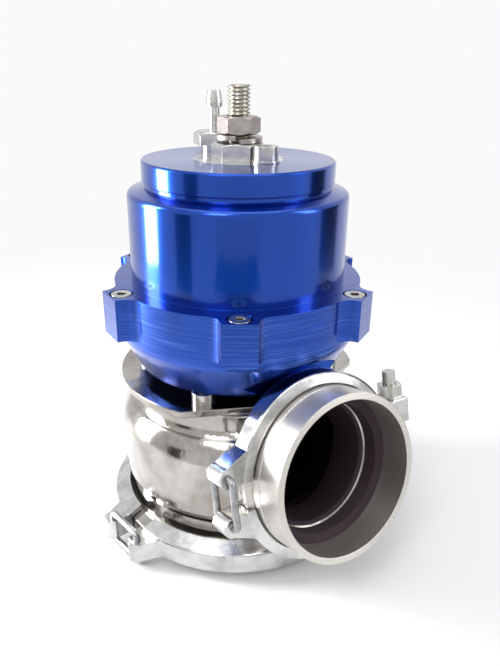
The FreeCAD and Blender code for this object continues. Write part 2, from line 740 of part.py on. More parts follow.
def draw_lug(sketch):
    """Outline of the lug on +X: flat end, concave sides tangent to the round flange."""
    half = d.lug_width / 2
    reach = d.case_radius + d.lug_reach
    corner = root(half * half + reach * reach)
    centre_distance = d.case_radius + d.lug_blend
    middle = (centre_distance * centre_distance + corner * corner
              - d.lug_blend * d.lug_blend) / (2 * centre_distance * corner)
    spread = Size(
        math.degrees(math.atan2(half.value, reach.value) + math.acos(middle.value)),
        f"(atan({half.text} / {reach.text}) + acos({middle.text}))",
    )
    foot_x = d.case_radius * cosine(spread)
    foot_y = d.case_radius * sine(spread)
    centre_x = centre_distance.value * math.cos(math.radians(spread.value))
    centre_y = centre_distance.value * math.sin(math.radians(spread.value))
    corners = [(reach, -half), (reach, half), (foot_x, foot_y), (foot_x, -foot_y)]
    arcs = {
        1: (d.lug_blend, Vector(centre_x, centre_y, 0)),
        3: (d.lug_blend, Vector(centre_x, -centre_y, 0)),
    }
    draw_polygon(sketch, corners, arcs)


def at_first_lug(feature):
    """Turn a feature's sketch so that its +X points at the first lug."""
    sketch = feature.Profile[0]
    sketch.setExpression("AttachmentOffset.Rotation.Angle", (d.lug_clocking - 90).text)
    return feature


actuator_base = new_body("actuator_base", base_level)
turned(actuator_base, "Case", [
    (0, 0),
    (foot_radius - d.foot_bevel, 0),
    (foot_radius, d.foot_bevel),
    (d.case_radius, d.cone_height),
    (d.case_radius, base_height),
    (0, base_height),
])
round_edges(actuator_base, "ConeRound", [(d.case_radius, d.cone_height)], d.cone_round)
relief_radius = outlet_clamp_outside + d.clamp_headroom
relief_reach = d.case_radius - foot_radius + 3.0
along_outlet(actuator_base, "ClampRelief", [
    (d.outlet_joint - relief_reach, 0),
    (d.outlet_joint + relief_reach, 0),
    (d.outlet_joint + relief_reach, relief_radius),
    (d.outlet_joint - relief_reach, relief_radius),
], d.outlet_level - base_level, cut=True)
lug_foot = base_height - d.lug_height
lug = at_first_lug(raised(actuator_base, "Lug", draw_lug, lug_foot, d.lug_height))
repeated(actuator_base, "Lugs", [lug], d.lug_count)
seal_foot = d.base_floor - d.seal_height
turned(actuator_base, "PressureChamber", [
    (0, 0),
    (guide_bore, 0),
    (guide_bore, d.guide_spigot - d.standoff_height + 0.6),
    (d.stem_radius + 0.4, d.guide_spigot - d.standoff_height + 0.6),
    (d.stem_radius + 0.4, seal_foot),
    (d.seal_radius + d.fit, seal_foot),
    (d.seal_radius + d.fit, d.base_floor),
    (base_chamber_radius, d.base_floor),
    (base_chamber_radius, base_height - d.land_depth),
    (land_radius, base_height - d.land_depth),
    (land_radius, base_height),
    (0, base_height),
], cut=True)
on_first_lug = [(lug_screw_circle, ZERO)]
cover_hole = at_first_lug(sunk(actuator_base, "CoverThread",
                               circles_at(on_first_lug, d.cover_screw_radius + d.fit),
                               base_height, d.lug_height))
repeated(actuator_base, "CoverThreads", [cover_hole], d.lug_count)
sunk(actuator_base, "ScrewSinks", circles_at(base_screw_places, d.base_head_radius + 0.25),
     d.base_floor, d.base_head_height)
sunk(actuator_base, "ScrewHoles", circles_at(base_screw_places, d.base_screw_radius + 0.2),
     d.base_floor, d.base_floor)

port_level = (d.base_floor + base_height - d.land_depth) / 2
for name, radius, depth in (
    ("PortFace", d.port_face_radius, d.port_face_depth),
    ("PortThread", d.port_radius, d.case_radius - base_chamber_radius + 1.0),
):
    sketch = sketch_on(actuator_base, "XZ_Plane", name + "Outline", -d.case_radius)
    draw_circle(sketch, 0, port_level, radius)
    pocket = actuator_base.newObject("PartDesign::Pocket", name)
    pocket.Profile = (sketch, [""])
    pocket.Reversed = True
    pocket.setExpression("Length", depth.text)


# ---------------------------------------------------------------- cap
cap = new_body("top_cap", seam_level)
turned(cap, "Shell", [
    (0, 0),
    (d.case_radius, 0),
    (d.case_radius, d.cap_flange_height),
    (cap_radius, d.cap_flange_height),
    (cap_radius, d.shoulder_level),
    (ring_radius - d.ring_undercut, d.ring_level - 0.4),
    (ring_radius - d.ring_undercut, d.ring_level + 0.8),
    (ring_radius, d.ring_level + 1.2),
    (ring_radius, d.cap_height),
    (0, d.cap_height),
])
round_edges(cap, "TopBevel", [(ring_radius, d.cap_height)], 0.6, bevel=True)
round_edges(cap, "ShoulderRound", [(cap_radius, d.shoulder_level)], d.shoulder_round)
cap_lug = at_first_lug(raised(cap, "Lug", draw_lug, ZERO, d.cap_flange_height))
repeated(cap, "Lugs", [cap_lug], d.lug_count)
cap_roof = d.cap_height - d.roof_wall
turned(cap, "Bore", [
    (0, 0),
    (cap_bore, 0),
    (cap_bore, d.shoulder_level - 4.2),
    (pocket_radius, d.shoulder_level),
    (pocket_radius, cap_roof),
    (0, cap_roof),
], cut=True)
round_edges(cap, "BoreLead", [(cap_bore, ZERO)], 0.8)
turned(cap, "DiscPocket", [
    (0, cap_roof - 1),
    (d.collar_thread_radius + d.fit, cap_roof - 1),
    (d.collar_thread_radius + d.fit, d.cap_height - d.disc_thickness),
    (d.disc_radius + d.fit, d.cap_height - d.disc_thickness),
    (d.disc_radius + d.fit, d.cap_height),
    (0, d.cap_height),
], cut=True)
sink = at_first_lug(sunk(cap, "CoverSink", circles_at(on_first_lug, d.cover_sink_radius),
                         d.cap_flange_height, d.cover_head_height))
hole = at_first_lug(sunk(cap, "CoverHole", circles_at(on_first_lug, d.cover_screw_radius + 0.2),
                         d.cap_flange_height, d.cap_flange_height))
repeated(cap, "CoverHoles", [sink, hole], d.lug_count)
sunk(cap, "BarbThread",
     circles_at([at_azimuth(d.barb_distance, d.barb_azimuth)], d.barb_thread_radius + d.fit),
     d.cap_height, d.roof_wall)
sunk(cap, "VentThread",
     circles_at([at_azimuth(d.plug_distance, d.plug_azimuth)], d.plug_shank_radius + d.fit),
     d.cap_height, d.plug_shank_length)

cover_seat_level = seam_level + d.cap_flange_height - d.cover_head_height
cap_screws("cover_screws", cover_seat_level, lug_places, lug_azimuths,
           (d.cover_screw_radius, d.cover_screw_length),
           (d.cover_head_radius, d.cover_head_height), d.cover_screw_length)

# ---------------------------------------------------------------- fittings on the top face
centre_disc = new_body("centre_disc", top_level - d.disc_thickness)
turned(centre_disc, "Disc", [
    (d.collar_thread_radius + d.fit, 0),
    (d.disc_radius, 0),
    (d.disc_radius, d.disc_thickness),
    (d.collar_thread_radius + d.fit, d.disc_thickness),
])
sunk(centre_disc, "VentHole",
     circles_at([at_azimuth(d.plug_distance, d.plug_azimuth)], d.plug_shank_radius + d.fit),
     d.disc_thickness, d.disc_thickness)
notch_azimuth = Size(-123.0)
notch_places = [at_azimuth(d.disc_radius, notch_azimuth), at_azimuth(d.disc_radius, notch_azimuth + 180)]
sunk(centre_disc, "SpannerNotches", circles_at(notch_places, 1.0), d.disc_thickness, Size(1.5))

collar = new_body("adjuster_collar", top_level)
hex_block(collar, "Hexagon", d.collar_flats, d.collar_turn, ZERO, d.collar_height)
shank_length = d.roof_wall
raised(collar, "Shank", lambda sketch: draw_circle(sketch, 0, 0, d.collar_thread_radius),
       -shank_length, shank_length)
screw_bore = d.adjuster_radius + d.fit
sunk(collar, "Bore", lambda sketch: draw_circle(sketch, 0, 0, screw_bore),
     d.collar_height, d.collar_height + shank_length)

lock_washer = new_body("lock_washer", collar_top_level)
lock_washer.Placement.Rotation = FreeCAD.Rotation(Vector(0, 0, 1), d.washer_split.value - 90)
lock_washer.setExpression("Placement.Rotation.Angle", (d.washer_split - 90).text)
ring_sketch = sketch_on(lock_washer, "XZ_Plane", "RingSection")
draw_polygon(ring_sketch, [
    (screw_bore + 0.2, 0),
    (d.washer_radius, 0),
    (d.washer_radius, d.washer_thickness),
    (screw_bore + 0.2, d.washer_thickness),
])
doc.recompute()
coil = lock_washer.newObject("PartDesign::AdditiveHelix", "Coil")
coil.Profile = (ring_sketch, [""])
coil.ReferenceAxis = (ring_sketch, ["V_Axis"])
coil.Mode = "pitch-height-angle"
coil.setExpression("Pitch", (d.washer_spring / 0.97).text)
coil.setExpression("Height", d.washer_spring.text)

lock_nut = new_body("lock_nut", washer_top_level)
hex_block(lock_nut, "Hexagon", d.nut_flats, d.nut_turn, ZERO, d.nut_height, foot=True)
sunk(lock_nut, "Bore", lambda sketch: draw_circle(sketch, 0, 0, screw_bore),
     d.nut_height, d.nut_height)

adjuster_foot = spring_seat_level + d.spring_seat_thickness - 1.5 + d.fit
adjuster = new_body("adjuster_screw", top_level)
turned(adjuster, "Screw", [
    (0, adjuster_foot - top_level),
    (2.5, adjuster_foot - top_level),
    (2.5, adjuster_foot - top_level + 1.8),
    (d.adjuster_radius, adjuster_foot - top_level + 3.0),
    (d.adjuster_radius, d.adjuster_top - 0.8),
    (d.adjuster_radius - 0.8, d.adjuster_top),
    (0, d.adjuster_top),
])

vent_place = at_azimuth(d.plug_distance, d.plug_azimuth)
vent_washer = new_body("vent_washer", top_level)


def draw_vent_washer(sketch):
    draw_circle(sketch, *vent_place, d.plug_washer_radius)
    draw_circle(sketch, *vent_place, d.plug_shank_radius + 0.1)


raised(vent_washer, "Ring", draw_vent_washer, ZERO, d.plug_washer_thickness)
vent_screw = cap_screws("vent_screw", top_level + d.plug_washer_thickness, [vent_place],
                        [d.plug_azimuth],
                        (d.plug_shank_radius, d.plug_shank_length),
                        (d.plug_head_radius, d.plug_head_height), d.plug_shank_length)

barb = new_body("hose_barb", top_level)
barb_x, barb_y = at_azimuth(d.barb_distance, d.barb_azimuth)
barb.setExpression("Placement.Base.x", barb_x.text)
barb.setExpression("Placement.Base.y", barb_y.text)
hex_block(barb, "Hexagon", d.barb_flats, d.barb_turn, d.barb_neck, d.barb_hex_height)
hex_top = d.barb_neck + d.barb_hex_height
ridge = hex_top + d.barb_length * 0.6
tip = hex_top + d.barb_length
turned(barb, "Tail", [
    (0, -d.roof_wall + 0.5),
    (d.barb_thread_radius, -d.roof_wall + 0.5),
    (d.barb_thread_radius, d.barb_neck),
    (d.barb_stem_radius, d.barb_neck),
    (d.barb_stem_radius, ridge),
    (d.barb_ridge_radius, ridge),
    (d.barb_ridge_radius, ridge + 1.5),
    (d.barb_tip_radius, tip),
    (0, tip),
])
sunk(barb, "Passage", lambda sketch: draw_circle(sketch, 0, 0, d.barb_bore_radius),
     tip, tip + d.roof_wall)

# ---------------------------------------------------------------- moving stack
retainer = new_body("retainer_plate", retainer_level)
spigot_bore = d.stem_thread_radius + d.fit
turned(retainer, "Plate", [
    (spigot_bore, 0),
    (retainer_radius - 1.5, 0),
    (retainer_radius, 1.5),
    (retainer_radius, d.retainer_thickness),
    (spigot_bore, d.retainer_thickness),
])

piston = new_body("piston_cup", piston_level)
boss_radius = d.inner_coil_radius - d.inner_wire / 2 - 0.4
turned(piston, "Cup", [
    (spigot_bore, 0),
    (piston_radius, 0),
    (piston_radius, d.piston_height),
    (piston_bore, d.piston_height),
    (piston_bore, d.piston_floor),
    (boss_radius, d.piston_floor),
    (boss_radius, d.piston_floor + d.spring_step),
    (spigot_bore, d.piston_floor + d.spring_step),
])
round_edges(piston, "FootRound", [(piston_radius, ZERO)], 1.5)

sheet_foot = sheet_level - seam_level
rim_foot_level = -d.land_depth + d.seam
rim_top_level = rim_foot_level + d.sheet_thickness
outer_leg = cap_bore - d.rim_gap
inner_leg = piston_radius + d.rim_gap
crest = sheet_foot + d.roll_height
diaphragm = new_body("diaphragm", seam_level)
turned(diaphragm, "Sheet", [
    (spigot_bore, sheet_foot),
    (inner_leg + d.sheet_thickness, sheet_foot),
    (inner_leg + d.sheet_thickness, crest - d.sheet_thickness),
    (outer_leg - d.sheet_thickness, crest - d.sheet_thickness),
    (outer_leg - d.sheet_thickness, rim_foot_level),
    (land_radius - d.seam, rim_foot_level),
    (land_radius - d.seam, rim_top_level),
    (outer_leg, rim_top_level),
    (outer_leg, crest),
    (inner_leg, crest),
    (inner_leg, sheet_foot + d.sheet_thickness),
    (spigot_bore, sheet_foot + d.sheet_thickness),
])
round_edges(diaphragm, "Roll", [(outer_leg, crest), (inner_leg, crest)], 2.6)

stem_nut = new_body("stem_nut", spring_foot_level + d.spring_step)
hex_block(stem_nut, "Hexagon", d.stem_nut_flats, ZERO, ZERO, d.stem_nut_height)
sunk(stem_nut, "Bore", lambda sketch: draw_circle(sketch, 0, 0, spigot_bore),
     d.stem_nut_height, d.stem_nut_height)

stem_seal = new_body("stem_seal", base_level + seal_foot)
turned(stem_seal, "Ring", [
    (d.stem_radius + d.fit, 0),
    (d.seal_radius, 0),
    (d.seal_radius, d.seal_height),
    (d.stem_radius + d.fit, d.seal_height),
])

spring_seat = new_body("spring_seat", spring_seat_level)
outer_pilot = outer_coil_radius - d.outer_wire / 2 - 0.4
turned(spring_seat, "Seat", [
    (0, -2 * d.spring_step),
    (boss_radius, -2 * d.spring_step),
    (boss_radius, -d.spring_step),
    (outer_pilot, -d.spring_step),
    (outer_pilot, 0),
    (spring_seat_radius, 0),
    (spring_seat_radius, d.spring_seat_thickness),
    (2.6, d.spring_seat_thickness),
    (2.6, d.spring_seat_thickness - 1.5),
    (0, d.spring_seat_thickness - 1.5),
])


SPRING_SIDES = 8


def spring(label, coil_radius, wire, turns, foot_level, head_level):
    """A compression spring of quarter-turn arcs with flat closed ends, between two levels."""
    wire_radius = wire.value / 2
    mean_radius = coil_radius.value
    low = foot_level.value + wire_radius
    rise = head_level.value - wire_radius - low
    quarters = int(turns.value * 4)
    closed = 3

    def height(step):
        middle = quarters - 2 * closed
        share = min(max(step - closed, 0), middle) / middle
        dead = closed * wire.value * 0.27
        run = dead * min(step, closed) / closed
        end = dead * max(step - quarters + closed, 0) / closed
        return low + run + (rise - 2 * dead) * share + end

    def point(step):
        angle = step * math.pi / 2
        low_step = math.floor(step)
        part = step - low_step
        level = height(low_step) * (1 - part) + height(low_step + 1) * part
        return Vector(mean_radius * math.cos(angle), mean_radius * math.sin(angle), level)

    arcs = [Part.Arc(point(k), point(k + 0.5), point(k + 1)).toShape() for k in range(quarters)]
    path = Part.Wire(arcs)
    along = arcs[0].tangentAt(arcs[0].FirstParameter)
    upward = along.cross(Vector(1, 0, 0)).normalize()
    outward = upward.cross(along).normalize()
    ring = []
    for corner in range(SPRING_SIDES + 1):
        angle = (corner + 0.5) * 2 * math.pi / SPRING_SIDES
        spoke = outward * math.cos(angle) + upward * math.sin(angle)
        ring.append(point(0) + spoke * wire_radius)
    section = Part.makePolygon(ring)
    feature = doc.addObject("Part::Feature", label)
    feature.Label = label
    feature.Shape = path.makePipeShell([section], True, False)
    return feature


spring("outer_spring", outer_coil_radius, d.outer_wire, d.outer_turns,
       spring_foot_level, spring_seat_level)
spring("inner_spring", d.inner_coil_radius, d.inner_wire, d.inner_turns,
       spring_foot_level, spring_seat_level - d.spring_step)

# ---------------------------------------------------------------- outlet flange
outlet_flange = new_body("outlet_flange")
lay_along_outlet(outlet_flange)
groove = d.outlet_groove_distance
turned(outlet_flange, "Ring", [
    (d.outlet_bore_radius, 0),
    (d.outlet_rim_radius, 0),
    (d.outlet_rim_radius, d.vband_rim_width),
    (d.outlet_rim_radius - d.outlet_rim_depth, d.vband_rim_width + outlet_flank),
    (d.outlet_radius, d.vband_rim_width + outlet_flank + 0.5),
    (d.outlet_radius, groove - d.outlet_groove_depth),
    (d.outlet_radius - d.outlet_groove_depth, groove),
    (d.outlet_radius, groove + d.outlet_groove_depth),
    (d.outlet_radius, d.outlet_length),
    (d.outlet_socket_radius, d.outlet_length),
    (d.outlet_socket_radius, d.outlet_length - d.outlet_socket_depth),
    (d.outlet_bore_radius, d.outlet_length - d.outlet_socket_depth - 0.6),
])


# ---------------------------------------------------------------- V-band clamps
class Clamp:
    """Two halves round a pair of V rims: a link hinge on -X, an eye bolt on +X.

    The keeper half lies on -Y and carries the bolt, the swinging half lies on +Y.
    """

    def __init__(self, name, rim_radius, rim_depth, lip, place):
        self.name = name
        self.place = place
        self.web_inside = rim_radius + d.rim_gap
        self.outside = self.web_inside + d.clamp_web
        self.lip_radius = rim_radius - rim_depth + d.rim_gap * 2
        self.rim_half = d.vband_rim_width + d.rim_gap
        self.flank = (self.web_inside - self.lip_radius) * tangent(d.vband_angle)
        self.half_height = self.rim_half + self.flank + lip
        self.web_half = self.rim_half + d.clamp_web_edge
        self.lug_root = self.web_inside - 3.0
        self.bolt_x = self.outside + d.clamp_bolt_offset
        self.lug_near = d.clamp_gap / 2
        self.lug_far = self.lug_near + d.clamp_lug_length
        self.lug_middle = (self.lug_near + self.lug_far) / 2
        self.hinge_x = -(self.outside + d.hinge_offset)
        self.hinge_y = d.hinge_spread / 2
        self.hinge_near = self.hinge_y - d.hinge_eye_radius

    def half(self, label, side):
        body = new_body(label)
        section = [
            (side * self.lip_radius, -self.half_height),
            (side * self.outside, -self.web_half),
            (side * self.outside, self.web_half),
            (side * self.lip_radius, self.half_height),
        ]
        turned(body, "Band", section, role="YZ_Plane", span=Size(180))
        edges = [(self.outside, -self.web_half), (self.outside, self.web_half)]
        round_edges(body, "BandRound", edges, d.band_round)
        reach = self.outside + d.clamp_lug_reach
        lug = [
            (self.lug_root, side * self.lug_near),
            (reach, side * self.lug_near),
            (reach, side * self.lug_far),
            (self.lug_root, side * self.lug_far),
        ]
        raised(body, "Lug", lambda sketch: draw_polygon(sketch, lug), -d.clamp_lug_width / 2,
               d.clamp_lug_width)
        self.hinge_lug(body, side)
        self.hollow(body, side)
        return body

    def hinge_lug(self, body, side):
        """The curled end of a half, round its eye of the link hinge."""
        bottom = -d.hinge_width / 2
        eye = (self.hinge_x, side * self.hinge_y, d.hinge_eye_radius)
        raised(body, "Curl", lambda sketch: draw_circle(sketch, *eye), bottom, d.hinge_width)
        curl_top = self.hinge_y + d.hinge_eye_radius
        arm = [
            (self.hinge_x, side * self.hinge_near),
            (-self.lug_root, side * self.hinge_near),
            (-self.lug_root, side * (curl_top + 4.0)),
            (self.hinge_x, side * curl_top),
        ]
        raised(body, "CurlArm", lambda sketch: draw_polygon(sketch, arm), bottom, d.hinge_width)

    def hollow(self, body, side):
        """Clear the V channel, both ends of the half, the bolt slot and the hinge bore."""
        tall = self.half_height + 5.0
        turned(body, "Channel", [
            (0, -tall),
            (self.lip_radius, -tall),
            (self.lip_radius, -self.rim_half - self.flank),
            (self.web_inside, -self.rim_half),
            (self.web_inside, self.rim_half),
            (self.lip_radius, self.rim_half + self.flank),
            (self.lip_radius, tall),
            (0, tall),
        ], cut=True)
        reach = self.outside + d.clamp_lug_reach + 1.0
        ends = [
            (0, -side),
            (reach, -side),
            (reach, side * self.lug_near),
            (0, side * self.lug_near),
            (0, side * self.hinge_near),
            (-reach, side * self.hinge_near),
            (-reach, -side),
        ]
        sunk(body, "Ends", lambda sketch: draw_polygon(sketch, ends), tall, tall * 2)
        slot_half = d.clamp_bolt_radius + 0.4
        slot_root = self.bolt_x - d.clamp_eye_radius - 0.3
        span = self.lug_far + 1.0
        slot = [(slot_root, ZERO), (reach, ZERO), (reach, side * span), (slot_root, side * span)]
        sunk(body, "Slot", lambda sketch: draw_polygon(sketch, slot), slot_half, slot_half * 2)
        bore = (self.hinge_x, side * self.hinge_y, d.link_wire / 2 + d.fit)
        sunk(body, "HingeBore", lambda sketch: draw_circle(sketch, *bore), tall, tall * 2)

    def keeper(self):
        body = self.half(f"{self.name}_clamp_keeper", -1)
        bore = (self.bolt_x, -self.lug_middle, d.clamp_pin_radius + d.fit)
        half_width = d.clamp_lug_width / 2
        sunk(body, "PinBore", lambda sketch: draw_circle(sketch, *bore),
             half_width + 1, d.clamp_lug_width + 2)
        self.place(body)

    def swinger(self):
        self.place(self.half(f"{self.name}_clamp_arm", 1))

    def link(self):
        """An oval ring of round wire through the eyes of both halves."""
        body = new_body(f"{self.name}_hinge_pin")
        bend = d.link_bend
        wide = self.hinge_y
        tall = d.hinge_width / 2 + d.link_gap + bend
        path = sketch_on(body, "YZ_Plane", "Path", self.hinge_x)
        corners = [
            (wide, -(tall - bend)), (wide, tall - bend),
            (wide - bend, tall), (-(wide - bend), tall),
            (-wide, tall - bend), (-wide, -(tall - bend)),
            (-(wide - bend), -tall), (wide - bend, -tall),
        ]
        turn_y = (wide - bend).value
        turn_z = (tall - bend).value
        bends = {
            1: (bend, Vector(turn_y, turn_z, 0)),
            3: (bend, Vector(-turn_y, turn_z, 0)),
            5: (bend, Vector(-turn_y, -turn_z, 0)),
            7: (bend, Vector(turn_y, -turn_z, 0)),
        }
        draw_polygon(path, corners, bends)
        section = sketch_on(body, "XY_Plane", "Section")
        draw_circle(section, self.hinge_x, wide, d.link_wire / 2)
        ring = body.newObject("PartDesign::AdditivePipe", "Ring")
        ring.Profile = (section, [""])
        ring.Spine = (path, [""])
        self.place(body)

    def cross_pin(self):
        body = new_body(f"{self.name}_cross_pin")
        half_width = d.clamp_lug_width / 2 + 0.6
        pin = (self.bolt_x, -self.lug_middle, d.clamp_pin_radius)
        raised(body, "Pin", lambda sketch: draw_circle(sketch, *pin), -half_width, half_width * 2)
        self.place(body)

    def bolt(self):
        """Eye bolt from the cross pin through the slot of the swinging half."""
        body = new_body(f"{self.name}_clamp_bolt")
        half = d.clamp_bolt_radius
        eye = (self.bolt_x, -self.lug_middle, d.clamp_eye_radius)
        raised(body, "Eye", lambda sketch: draw_circle(sketch, *eye), -half, half * 2)
        sketch = sketch_on(body, "XZ_Plane", "ShankOutline", self.lug_middle)
        draw_circle(sketch, self.bolt_x, 0, half - 0.05)
        shank = body.newObject("PartDesign::Pad", "Shank")
        shank.Profile = (sketch, [""])
        shank.Reversed = True
        end = self.lug_far + d.clamp_nut_height + d.clamp_slack
        shank.setExpression("Length", (self.lug_middle + end).text)
        bore = (self.bolt_x, -self.lug_middle, d.clamp_pin_radius + d.fit)
        sunk(body, "EyeBore", lambda drawing: draw_circle(drawing, *bore), half + 1, half * 2 + 2)
        self.place(body)

    def nut(self):
        """Hexagon nut on the bolt, against the swinging half's lug."""
        body = new_body(f"{self.name}_clamp_nut")
        sketch = sketch_on(body, "XZ_Plane", "NutOutline", -(self.lug_far + d.fit))
        corners = [(self.bolt_x + x, y) for x, y in hexagon(d.clamp_nut_flats, ZERO)]
        draw_polygon(sketch, corners)
        draw_circle(sketch, self.bolt_x, 0, d.clamp_bolt_radius)
        nut = body.newObject("PartDesign::Pad", "Nut")
        nut.Profile = (sketch, [""])
        nut.Reversed = True
        nut.setExpression("Length", d.clamp_nut_height.text)
        self.place(body)

    def build(self):
        self.keeper()
        self.swinger()
        self.link()
        self.cross_pin()
        self.bolt()
        self.nut()


def place_inlet_clamp(body):
    turn = FreeCAD.Rotation(Vector(0, 0, 1), d.inlet_clamp_turn.value)
    body.Placement = FreeCAD.Placement(Vector(0, 0, 0), turn)
    body.setExpression("Placement.Base.z", joint_level.text)
    body.setExpression("Placement.Rotation.Angle", d.inlet_clamp_turn.text)


Clamp("inlet", d.inlet_rim_radius, d.inlet_rim_depth, d.inlet_clamp_lip,
      place_inlet_clamp).build()
Clamp("outlet", d.outlet_rim_radius, d.outlet_rim_depth, d.outlet_clamp_lip,
      lay_along_outlet).build()

# ---------------------------------------------------------------- check and write
doc.recompute()
sub_parts = [item for item in doc.Objects
             if item.TypeId == "PartDesign::Body" or item.TypeId == "Part::Feature"]
for item in doc.Objects:
    if "Invalid" in item.State or "Error" in item.State:
        raise RuntimeError(f"{item.Label} ({item.Name}) failed: {item.State}")
for item in sub_parts:
    if item.Shape.isNull() or not item.Shape.isValid() or not item.Shape.Solids:
        raise RuntimeError(f"{item.Label} has no valid solid")
for item in sub_parts:
    item.Shape.exportStep(f"parts/{item.Label}.step")
    print(f"{item.Label}: {len(item.Shape.Solids)} solid(s), {item.Shape.Volume:.0f} mm3")
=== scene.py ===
# %% [markdown]
# # A turbo wastegate with an anodised actuator and a polished cast body
# The mechanical parts arrive as a fixed frame: every piece already has its true size and place.
# This lesson gives them their finishes, and adds what only shows close up: the thread on the
# adjuster, soft edges on the castings, and a dark matt colour in the gas passage.

# %% Load the imported model
import math

import bmesh
import bpy
from mathutils import Matrix, Vector


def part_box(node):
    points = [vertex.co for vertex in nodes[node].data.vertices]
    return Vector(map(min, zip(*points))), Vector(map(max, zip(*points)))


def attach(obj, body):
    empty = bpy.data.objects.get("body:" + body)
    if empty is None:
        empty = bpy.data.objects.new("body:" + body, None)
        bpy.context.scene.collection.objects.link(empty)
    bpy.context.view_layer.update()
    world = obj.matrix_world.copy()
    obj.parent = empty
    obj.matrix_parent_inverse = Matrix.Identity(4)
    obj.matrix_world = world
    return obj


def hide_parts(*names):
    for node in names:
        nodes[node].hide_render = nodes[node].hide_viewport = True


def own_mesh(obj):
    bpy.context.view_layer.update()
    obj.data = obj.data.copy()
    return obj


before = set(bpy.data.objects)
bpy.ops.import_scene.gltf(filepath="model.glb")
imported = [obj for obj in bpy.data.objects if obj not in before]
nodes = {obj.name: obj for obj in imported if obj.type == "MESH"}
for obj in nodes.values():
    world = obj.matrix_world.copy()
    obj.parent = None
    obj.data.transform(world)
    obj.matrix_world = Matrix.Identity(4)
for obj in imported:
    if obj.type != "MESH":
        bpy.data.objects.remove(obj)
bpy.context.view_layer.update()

# %% [markdown]
# ## The camera
# The part is looked at from above, close by and off to one side of its outlet.  Close up, the
# nearer end of a part looks larger, so the camera's distance matters as much as its lens.
# Three plain turns are easier to adjust than one aim: heading, then dip, then a little roll.

# %% Place the camera
camera_place = (-0.1257, -0.1921, 0.1754)
camera_heading = -34.41
camera_dip = 23.29
camera_roll_radians = 0.0142
camera_data = bpy.data.cameras.new("Camera")
camera_data.sensor_width = 36.0
camera_data.lens = 34.69
camera_data.clip_start = 0.01
camera = bpy.data.objects.new("Camera", camera_data)
bpy.context.collection.objects.link(camera)
heading = Matrix.Rotation(math.radians(camera_heading), 4, "Z")
pitch = Matrix.Rotation(math.radians(90 - camera_dip), 4, "X")
roll = Matrix.Rotation(camera_roll_radians, 4, "Z")
camera.matrix_world = Matrix.Translation(camera_place) @ heading @ pitch @ roll
bpy.context.scene.camera = camera
print("camera at", [round(value, 3) for value in camera.location])

# %% [markdown]
# ## Helpers for node trees
# A material is a tree of nodes.  Three helpers keep the cells short: one adds a node with its
# settings, one makes the links, and one lays the finished tree out in columns, so that it can
# be read in Blender's own editor.


# %% Define the node helpers
def node(tree, kind, **settings):
    """Add a node; settings are properties, or sockets named with underscores for spaces."""
    made = tree.nodes.new(kind)
    for name, value in settings.items():
        if hasattr(made, name):
            setattr(made, name, value)
        else:
            made.inputs[name.replace("_", " ")].default_value = value
    return made


def join(tree, *links):
    """Connect (node, output) to (node, input) pairs."""
    for source, output, target, entry in links:
        tree.links.new(source.outputs[output], target.inputs[entry])


def arrange(tree):
    """Lay the nodes out in columns, each one to the left of all that it feeds."""
    column = {item.name: 0 for item in tree.nodes}
    for _ in range(len(column)):
        for link in tree.links:
            source, target = link.from_node.name, link.to_node.name
            column[source] = max(column[source], column[target] + 1)
    filled = {}
    for name, steps in column.items():
        tree.nodes[name].location = (-240 * steps, -340 * filled.get(steps, 0))
        filled[steps] = filled.get(steps, 0) + 1


def new_material(name):
    """A material with nothing in it but its output node."""
    material = bpy.data.materials.new(name)
    material.use_nodes = True
    material.node_tree.nodes.clear()
    material.node_tree.nodes.new("ShaderNodeOutputMaterial")
    return material


print("four helpers")

# %% [markdown]
# ## Floor and world
# Polished metal shows its surroundings, so the room is part of the finish.  The floor is a plain
# pale sweep that takes the part's shadow.  Further out it glows, but only to the camera and to
# reflections, so the background is white while no extra light falls on the part.  The world
# does the same: white to look at, and a dimmer grey room as a source of light.

# %% Lay a pale floor
floor_width = 6.0
floor_level = -0.0002
white = (0.955, 0.955, 0.96, 1)
shadow_reach = 0.10
glow_reach = 0.42
bpy.ops.object.select_all(action="DESELECT")
bpy.ops.mesh.primitive_plane_add(size=floor_width, location=(0, 0, floor_level))
floor = bpy.context.object
floor.name = "Floor"

paper = new_material("Pale paper")
tree = paper.node_tree
diffuse = node(tree, "ShaderNodeBsdfDiffuse", Color=(0.80, 0.80, 0.80, 1))
glow = node(tree, "ShaderNodeEmission", Color=white, Strength=1.0)
path = node(tree, "ShaderNodeLightPath")
looked_at = node(tree, "ShaderNodeMath", operation="ADD", use_clamp=True)
blend = node(tree, "ShaderNodeMixShader")
place = node(tree, "ShaderNodeTexCoord")
distance = node(tree, "ShaderNodeVectorMath", operation="LENGTH")
fade = node(tree, "ShaderNodeMapRange", From_Min=shadow_reach, From_Max=glow_reach)
clear = node(tree, "ShaderNodeMath", operation="MULTIPLY")
join(tree, (path, "Is Camera Ray", looked_at, 0), (path, "Is Glossy Ray", looked_at, 1),
     (place, "Object", distance, 0), (distance, "Value", fade, "Value"),
     (fade, "Result", clear, 0), (looked_at, "Value", clear, 1),
     (clear, "Value", blend, "Fac"), (diffuse, 0, blend, 1), (glow, 0, blend, 2),
     (blend, 0, tree.nodes["Material Output"], "Surface"))
arrange(tree)
floor.data.materials.append(paper)
print("floor is", floor.name)

